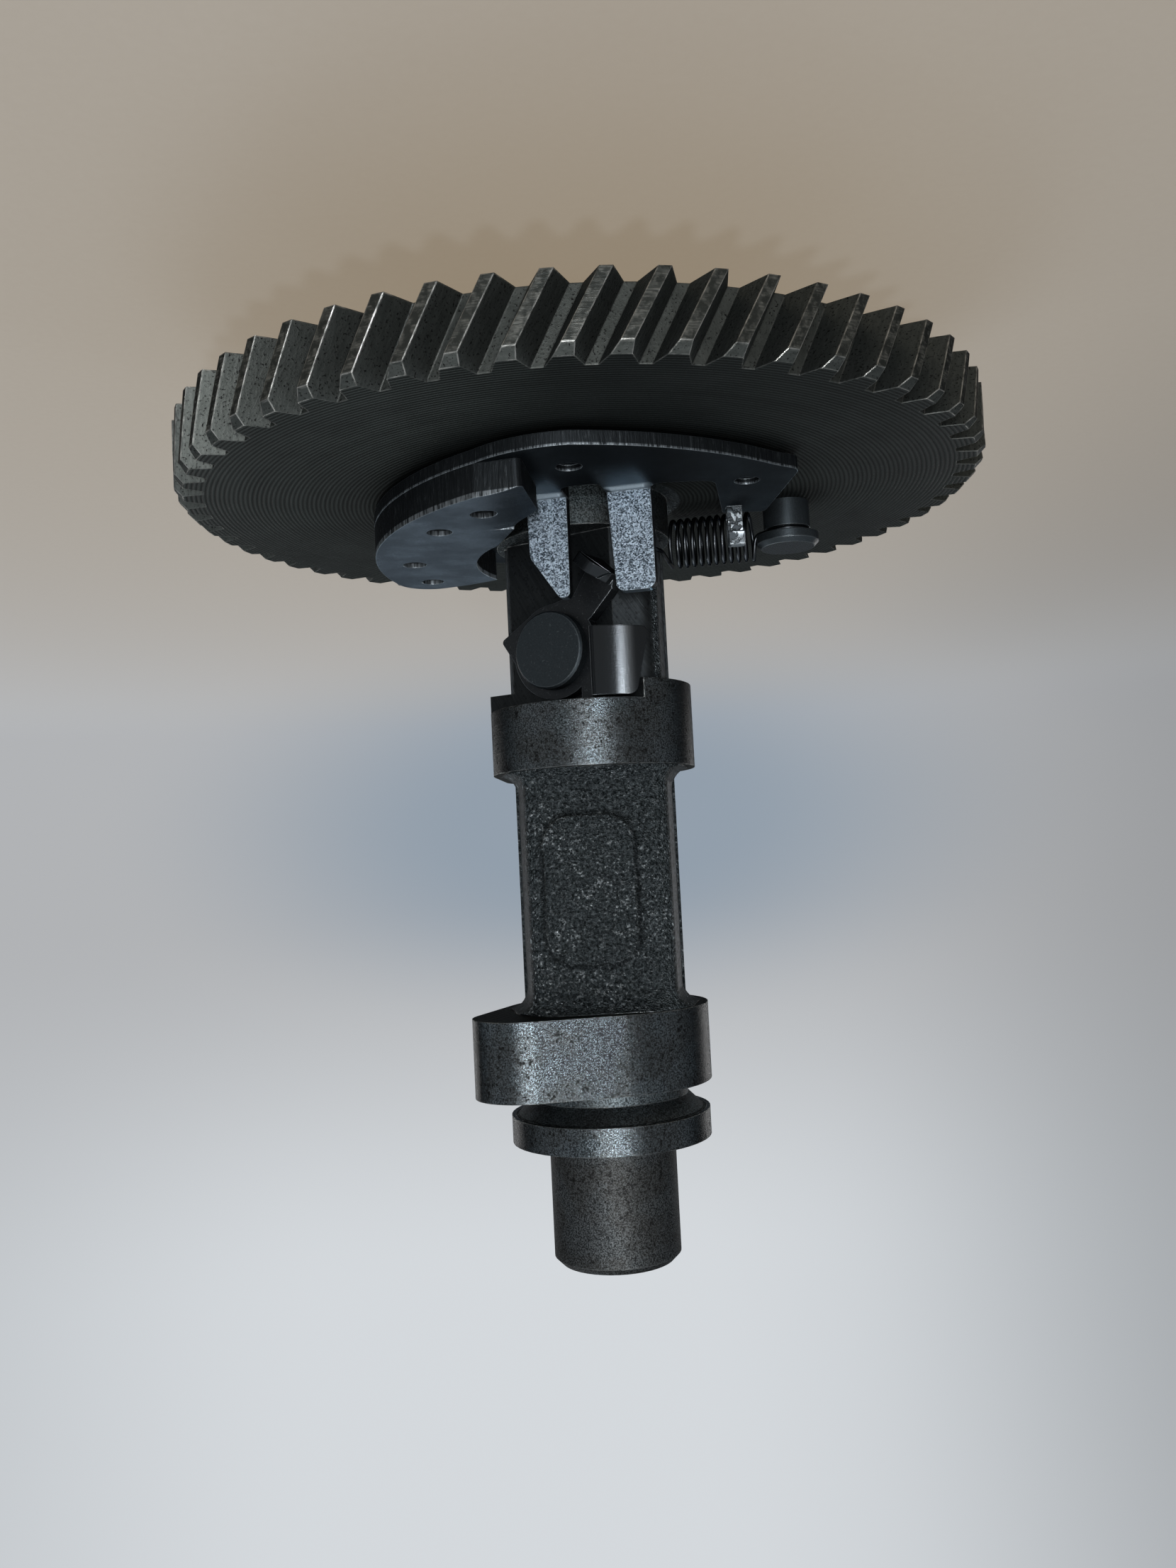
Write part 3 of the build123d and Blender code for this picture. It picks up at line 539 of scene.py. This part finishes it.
def black_oxide(name, tone, roughness, speckle, edge_tone):
    """Blackened steel: fine speckle, and metal showing at rubbed edges."""
    f = Finish(name, metallic=0.85)
    edge, rounded = f.edges(0.18)
    fine = f.noise(f.place, 5.5, 4.0, 0.65)
    specks = f.ramp(f.noise(f.place, 3.3, 3.0, 0.7), 0.60, 0.72)
    colour = f.mix(fine, f.scaled(tone, 0.65), f.scaled(tone, 1.4))
    colour = f.mix(f.math("MULTIPLY", specks, speckle), colour, OXIDE_SPECK)
    colour = f.mix(f.math("MULTIPLY", edge, f.ramp(fine, 0.3, 0.6, 0.4, 1.0)), colour, edge_tone)
    uneven = f.mix(fine, roughness - 0.06, roughness + 0.08)
    return f.finish(colour, uneven, f.math("MULTIPLY", fine, 0.02), rounded)


def release_steel():
    """Blackened lever, glossier on the wing and the flange, which also get a lighter colour as painted
    sheen; the wing carries a band of wear and painted highlight.
    """
    f = Finish("lever_steel", metallic=0.9)
    edge, rounded = f.edges(0.18)
    fine = f.noise(f.place, 5.5, 4.0, 0.65)
    specks = f.ramp(f.noise(f.place, 3.3, 3.0, 0.7), 0.60, 0.72)
    outward = f.vector("DOT_PRODUCT", f.facing, tuple(polar(1.0, FLAT_AZIMUTH)))
    glossy = f.ramp(outward, 0.97, 0.90)
    colour = f.mix(fine, LEVER_DARK, LEVER_LIGHT)
    speckle = f.math("SUBTRACT", 0.5, f.math("MULTIPLY", glossy, 0.4))
    colour = f.mix(f.math("MULTIPLY", specks, speckle), colour, LEVER_SPECK)
    # painted sheen: the faces off the flat's plane, the wing and the flange among them, get a lighter colour
    colour = f.mix(f.math("MULTIPLY", glossy, 0.6), colour, LEVER_PAINTED_SHEEN)
    colour = f.mix(f.math("MULTIPLY", edge, 0.8), colour, LEVER_EDGE)
    upright = f.join(f.math("MULTIPLY", f.azimuth, 30.0), 0.0, f.math("MULTIPLY", f.z, 0.4))
    strokes = f.math("MULTIPLY", f.noise(upright, 1.0, 3.0, 0.6), glossy)
    height = f.math("ADD", f.math("MULTIPLY", fine, 0.012), f.math("MULTIPLY", strokes, 0.02))
    on_wing = f.ramp(f.radius, WING_RADIUS - 0.3, WING_RADIUS - 0.1)
    swing = f.math("SUBTRACT", f.azimuth, radians(WING_OUTER_AZIMUTH))
    # painted highlight: a lighter band on the wing, laid where the front lamp's highlight falls, partly as
    # tappet wear
    wear_and_painted_highlight = f.math("MULTIPLY", f.band(swing, *WING_WEAR_AND_PAINTED_HIGHLIGHT, 0.06), on_wing)
    colour = f.mix(f.math("MULTIPLY", on_wing, 0.75), colour, WING_TONE)
    colour = f.mix(wear_and_painted_highlight, colour, WING_WEAR_AND_PAINTED_HIGHLIGHT_TONE)
    roll = f.math("MULTIPLY", f.math("MULTIPLY", swing, swing), WING_ROLL)
    height = f.math("ADD", height, f.math("MULTIPLY", roll, on_wing))
    gloss = f.mix(wear_and_painted_highlight, f.mix(glossy, f.mix(fine, 0.36, 0.48), 0.22), 0.27)
    return f.finish(colour, gloss, height, rounded)


def spring_wire():
    """Drawn spring wire: dark, smooth and fairly glossy, with die lines."""
    f = Finish("spring_wire", metallic=1.0)
    fine = f.noise(f.place, 7.0, 3.0, 0.6)
    colour = f.mix(fine, WIRE_DARK, WIRE_LIGHT)
    return f.finish(colour, f.mix(fine, 0.24, 0.36), f.math("MULTIPLY", fine, 0.008))


def dress(node, material):
    """Puts a finish on every material slot of a CAD node."""
    for material_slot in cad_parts[node].material_slots:
        material_slot.link = "OBJECT"
        material_slot.material = material


dress("camshaft_body", iron_shaft())
dress("flyweight_plate", stamped_steel("plate_steel", (PLATE_BOTTOM, PLATE_TOP), PLATE_TONE, True))
dress("counterweight", stamped_steel("weight_steel", (PLATE_TOP, WEIGHT_TOP), WEIGHT_TONE, False))
dress("flyweight_pivot_pin", black_oxide("pivot_steel", PIVOT_TONE, 0.42, 0.3, PIVOT_EDGE))
dress("lever_pin", black_oxide("pin_steel", PIN_TONE, 0.46, 0.35, PIN_EDGE))
dress("spring_post", black_oxide("post_steel", POST_TONE, 0.38, 0.25, POST_EDGE))
dress("release_lever", release_steel())

# ---------------------------------------------------------------- cast fillets under the lobes
CAST_CORNERS = ((10.0, 0.0), (8.69, 9.3), (-8.69, 9.3), (-10.0, 0.0), (-8.69, -9.3), (8.69, -9.3))
CAST_CORNER_RADIUS = 2.4
FILLET_RADIUS = 2.5
FILLET_STEPS = 8
LOBE_RADIUS = 12.9
CORNER_STEPS = 8
SIDE_RADIUS = 0.4
FILLET_CLEARANCE = 0.02


def fillet_ring(lift):
    """Outline of the cast section, moved outward by a lift and kept on the lobe's face."""
    points = []
    corners = [Vector(corner) for corner in CAST_CORNERS]
    for index, corner in enumerate(corners):
        before, after = corners[index - 1], corners[(index + 1) % len(corners)]
        inward = ((before - corner).normalized() + (after - corner).normalized()).normalized()
        half = (before - corner).angle(after - corner) / 2
        radius = CAST_CORNER_RADIUS if abs(corner.y) > 1.0 else SIDE_RADIUS
        centre = corner + inward * radius / sin(half)
        start = (corner - before).orthogonal() * -1
        turn = pi - 2 * half
        first = start.angle_signed(Vector((1.0, 0.0)))
        for step in range(CORNER_STEPS + 1):
            angle = first + turn * step / CORNER_STEPS
            point = centre + Vector((cos(angle), sin(angle))) * (radius + lift)
            points.append(point * min(1.0, LOBE_RADIUS / point.length))
    return points


def cast_fillet(name, face, away):
    """Concave skirt from the cast section to a lobe's face, away from it along +Z or -Z."""
    rings = []
    for step in range(FILLET_STEPS + 1):
        angle = 0.5 * pi * step / FILLET_STEPS
        lift = FILLET_RADIUS * (1 - cos(angle)) + FILLET_CLEARANCE
        height = face + away * FILLET_RADIUS * (1 - sin(angle))
        rings.append([Vector((*point, height)) * MM for point in fillet_ring(lift)])
    count = len(rings[0])
    vertices = [vertex for ring in rings for vertex in ring]
    faces = []
    for level in range(FILLET_STEPS):
        for index in range(count):
            a, b = level * count + index, level * count + (index + 1) % count
            faces.append((a, b, b + count, a + count))
    mesh = bpy.data.meshes.new(name)
    mesh.from_pydata(vertices, [], faces if away < 0 else [tuple(reversed(face_)) for face_ in faces])
    mesh.shade_smooth()
    piece = bpy.data.objects.new(name, mesh)
    bpy.context.scene.collection.objects.link(piece)
    piece.data.materials.append(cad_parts["camshaft_body"].material_slots[0].material)
    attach(piece, "shaft")
    return piece


cast_fillet("cast_fillet_upper", UPPER_LOBE[1], 1)
cast_fillet("cast_fillet_lower", LOWER_LOBE[0], -1)

# ---------------------------------------------------------------- round-wire return spring
WIRE_RADIUS = 0.27
COIL_RADIUS, COIL_TURNS, COIL_PITCH, COIL_START, COIL_AZIMUTH = 3.1, 11, 1.0, 4.6, 12.45
COIL_HEIGHT = GEAR_FRONT + 3.95
POST_GROOVE_RADIUS, WIRE_CLEARANCE = 2.5, 0.05
LOOP_RADIUS = POST_GROOVE_RADIUS + WIRE_RADIUS + WIRE_CLEARANCE
LOOP_START, LOOP_SWEEP, LOOP_STEPS = 40.0, 290.0, 24
FINGER_THICKNESS, LEG_ALONG = 1.6, -10.55
STEPS_PER_TURN = 28
WIRE_SIDES = 12


def coil_point(turn):
    """Point on the coil's helix after a number of turns."""
    axis = polar(1.0, COIL_AZIMUTH)
    side = Vector((0.0, 0.0, 1.0)).cross(axis)
    swing = 2.0 * pi * turn
    centre = Vector((*POST, COIL_HEIGHT)) + axis * (COIL_START + COIL_PITCH * turn)
    across = axis.cross(Vector((0.0, 0.0, 1.0)))
    return centre + Vector((0.0, 0.0, 1.0)) * COIL_RADIUS * cos(swing) + across * -COIL_RADIUS * sin(swing)


def rounded_run(points, radius, steps=6):
    """Straight runs through points, each corner cut back and curved."""
    path = [points[0]]
    for before, corner, after in zip(points, points[1:], points[2:]):
        cut = min(radius, (corner - before).length / 2, (after - corner).length / 2)
        start = corner + (before - corner).normalized() * cut
        end = corner + (after - corner).normalized() * cut
        for step in range(steps + 1):
            t = step / steps
            path.append(start * (1 - t) ** 2 + corner * (2 * t * (1 - t)) + end * t ** 2)
    path.append(points[-1])
    return path


def tube(name, path, radius, sides):
    """Closed tube mesh of a radius along a path, in millimetres."""
    vertices, faces = [], []
    guide = (path[1] - path[0]).orthogonal().normalized()
    for index, point in enumerate(path):
        ahead = path[min(index + 1, len(path) - 1)] - path[max(index - 1, 0)]
        ahead.normalize()
        guide = (guide - ahead * guide.dot(ahead)).normalized()
        other = ahead.cross(guide)
        for side in range(sides):
            angle = 2.0 * pi * side / sides
            vertices.append((point + (guide * cos(angle) + other * sin(angle)) * radius) * MM)
    for index in range(len(path) - 1):
        for side in range(sides):
            a, b = index * sides + side, index * sides + (side + 1) % sides
            faces.append((a, b, b + sides, a + sides))
    faces.append(tuple(reversed(range(sides))))
    faces.append(tuple(range(len(vertices) - sides, len(vertices))))
    mesh = bpy.data.meshes.new(name)
    mesh.from_pydata(vertices, [], faces)
    for polygon in mesh.polygons:
        polygon.use_smooth = len(polygon.vertices) == 4
    piece = bpy.data.objects.new(name, mesh)
    bpy.context.scene.collection.objects.link(piece)
    return piece


post_middle = Vector((*POST, COIL_HEIGHT))
loop = [
    post_middle + polar(LOOP_RADIUS, COIL_AZIMUTH + LOOP_START + LOOP_SWEEP * step / LOOP_STEPS)
    for step in range(LOOP_STEPS + 1)
]
before_coil = post_middle + polar(COIL_START - 0.4, COIL_AZIMUTH - 6.0)
crossing = rounded_run([loop[-1], before_coil, coil_point(0.0)], 1.0)
coil = [coil_point(step / STEPS_PER_TURN) for step in range(1, COIL_TURNS * STEPS_PER_TURN + 1)]
finger_along, finger_out = polar(1.0, FINGER_AZIMUTH + 90.0), polar(1.0, FINGER_AZIMUTH)
leg_distance = FINGER_DISTANCE - FINGER_THICKNESS - WIRE_RADIUS - WIRE_CLEARANCE
leg_end = finger_out * leg_distance + finger_along * LEG_ALONG
leg = rounded_run([
    coil[-1],
    Vector((-10.95, 0.5, GEAR_FRONT + 7.4)),
    Vector((-9.7, -9.0, GEAR_FRONT + 8.6)),
    Vector((leg_end.x, leg_end.y, GEAR_FRONT + 9.0)),
], 1.4)
wire_path = loop[:-1] + crossing + coil + leg[1:]
spring = tube("return_spring_wire", wire_path, WIRE_RADIUS, WIRE_SIDES)
spring.data.materials.append(spring_wire())
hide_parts("return_spring")
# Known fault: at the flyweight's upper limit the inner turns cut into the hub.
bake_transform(spring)

# ---------------------------------------------------------------- floor, world and lamps
HORIZON = (0.440, 0.450, 0.465)
PAPER = (0.262, 0.205, 0.138)
WEAVE_DARK, WEAVE_LIGHT = (0.125, 0.14, 0.15), (0.145, 0.16, 0.17)
BOUNCE = (0.60, 0.59, 0.57)
UPPER_MIDDLE, UPPER_SIDE, COOL_PAINTED_SHADOW = (0.66, 0.69, 0.72), (0.49, 0.515, 0.54), (0.27, 0.33, 0.40)
SKY_LIGHT, SKY_STRENGTH = (0.80, 0.88, 1.0), 0.40
PAINTED_DIMMING = 0.28
FLOOR_REACH = 12.0
CAMERA_SETBACK, CAMERA_HEIGHT = 0.164, 0.0709


def seen_directly(n):
    """One for the rays that show a background: camera, glossy and transmission."""
    path = n.add("LightPath")
    mirrored = n.math("MAXIMUM", path.outputs["Is Glossy Ray"], path.outputs["Is Transmission Ray"])
    return n.math("MAXIMUM", path.outputs["Is Camera Ray"], mirrored)


def backdrop(n, side, ahead, height):
    """Colour of the backdrop by a direction: a bluish painted shadow behind the shaft, and painted shade
    darkening it towards -X.
    """
    off_middle = n.math("ABSOLUTE", n.math("SUBTRACT", side, 0.08))
    upper = n.mix(n.ramp(off_middle, 0.12, 0.52), UPPER_MIDDLE, UPPER_SIDE)
    spread = n.math("DIVIDE", side, 0.36)
    rise = n.math("DIVIDE", n.math("ADD", height, 0.035), 0.17)
    # painted shadow: a bluish, darker patch behind the shaft, where the gear's shadow would fall
    painted_shadow = n.ramp(n.vector("LENGTH", n.join(spread, rise, 0.0)), 1.05, 0.25)
    painted_shadow = n.math("MULTIPLY", painted_shadow, n.ramp(ahead, 0.2, 0.7))
    horizon = n.mix(n.math("MULTIPLY", painted_shadow, 0.9), HORIZON, COOL_PAINTED_SHADOW)
    colour = n.mix(n.ramp(height, 0.02, 0.30), horizon, upper)
    # painted shade: the backdrop darker towards -X, as if less light reached that side
    return n.mix(n.ramp(side, -0.15, -0.50, 0.0, PAINTED_DIMMING), colour, BLACK)


def pale_world():
    world = bpy.data.worlds.new("studio")
    world.use_nodes = True
    n = Nodes(world.node_tree)
    x, y, z = n.split(n.add("TexCoord").outputs["Generated"])
    seen = n.add("Background")
    n.put(seen.inputs["Color"], backdrop(n, x, y, z))
    light = n.add("Background")
    light.inputs["Color"].default_value = rgba(SKY_LIGHT)
    light.inputs["Strength"].default_value = SKY_STRENGTH
    choice = n.add("MixShader")
    n.put(choice.inputs[0], seen_directly(n))
    n.put(choice.inputs[1], light.outputs[0])
    n.put(choice.inputs[2], seen.outputs[0])
    n.put(n.add("OutputWorld").inputs[0], choice.outputs[0])
    bpy.context.scene.world = world


def pale_floor():
    """Paper that keeps part of the shadow, with painted shade darkening it towards -X, and runs into the
    backdrop's colour far away.
    """
    mesh = bpy.data.meshes.new("floor")
    corners = [(x * FLOOR_REACH, y * FLOOR_REACH, 0) for x, y in ((-1, -1), (1, -1), (1, 1), (-1, 1))]
    mesh.from_pydata(corners, [], [(0, 1, 2, 3)])
    floor = bpy.data.objects.new("floor", mesh)
    floor.location.z = cad_box[0].z
    bpy.context.scene.collection.objects.link(floor)
    material = bpy.data.materials.new("paper")
    material.use_nodes = True
    n = Nodes(material.node_tree)
    place = n.add("TexCoord").outputs["Object"]
    fibre = n.noise(place, 900.0, 4.0, 0.6)
    bounce = n.add("BsdfDiffuse")
    bounce.inputs["Color"].default_value = rgba(BOUNCE)
    lit = n.add("BsdfDiffuse")
    # painted shade: the near floor darker towards -X, as if less light reached that side
    painted_dim = n.ramp(n.split(place)[0], -0.02, -0.15, 0.0, PAINTED_DIMMING)
    weave = n.mix(fibre, WEAVE_DARK, WEAVE_LIGHT)
    n.put(lit.inputs["Color"], n.mix(painted_dim, weave, BLACK))
    tone = n.add("Emission")
    n.put(tone.inputs["Color"], n.mix(painted_dim, PAPER, BLACK))
    near = n.add("AddShader")
    n.put(near.inputs[0], lit.outputs[0])
    n.put(near.inputs[1], tone.outputs[0])
    far = n.add("Emission")
    from_camera = n.vector("ADD", place, (0.0, CAMERA_SETBACK, 0.0))
    side, ahead, _ = n.split(n.vector("NORMALIZE", from_camera))
    reached = n.vector("LENGTH", place)
    drop = n.math("DIVIDE", -CAMERA_HEIGHT, n.vector("LENGTH", from_camera))
    n.put(far.inputs["Color"], backdrop(n, side, ahead, drop))
    shown = n.add("MixShader")
    n.put(shown.inputs[0], n.ramp(reached, 0.0, 0.50))
    n.put(shown.inputs[1], near.outputs[0])
    n.put(shown.inputs[2], far.outputs[0])
    choice = n.add("MixShader")
    n.put(choice.inputs[0], seen_directly(n))
    n.put(choice.inputs[1], bounce.outputs[0])
    n.put(choice.inputs[2], shown.outputs[0])
    n.put(n.add("OutputMaterial").inputs[0], choice.outputs[0])
    floor.data.materials.append(material)


def lamp(name, place, aim, size, power, colour):
    """Rectangular area lamp at a place, facing a point, its second size the upright one."""
    data = bpy.data.lights.new(name, "AREA")
    data.shape = "RECTANGLE"
    data.size, data.size_y = size
    data.energy = power
    data.color = colour
    lamp_object = bpy.data.objects.new(name, data)
    lamp_object.location = place
    lamp_object.rotation_euler = (Vector(aim) - Vector(place)).to_track_quat("-Z", "Y").to_euler()
    bpy.context.scene.collection.objects.link(lamp_object)


pale_world()
pale_floor()
# name, place, aim, size, watts and colour; metres
WARM, COLD, WHITE = (1.0, 0.97, 0.93), (0.94, 0.97, 1.0), (1.0, 1.0, 1.0)
for lamp_values in (
    ("key", (-0.03, -0.58, 0.40), (0.0, 0.0, 0.03), (0.035, 0.035), 1.6, WARM),
    ("front", (0.006, -0.42, 0.085), (0.0, 0.0, 0.085), (0.035, 0.21), 1.1, COLD),
    ("back", (0.15, 0.42, 0.62), (0.0, 0.0, 0.06), (0.40, 0.40), 1.6, WHITE),
    ("rear_side", (-0.29, 0.42, 0.13), (0.0, 0.0, 0.06), (0.12, 0.24), 1.0, WHITE),
    ("rear_side", (0.29, 0.42, 0.13), (0.0, 0.0, 0.06), (0.12, 0.24), 1.0, WHITE),
):
    lamp(*lamp_values)
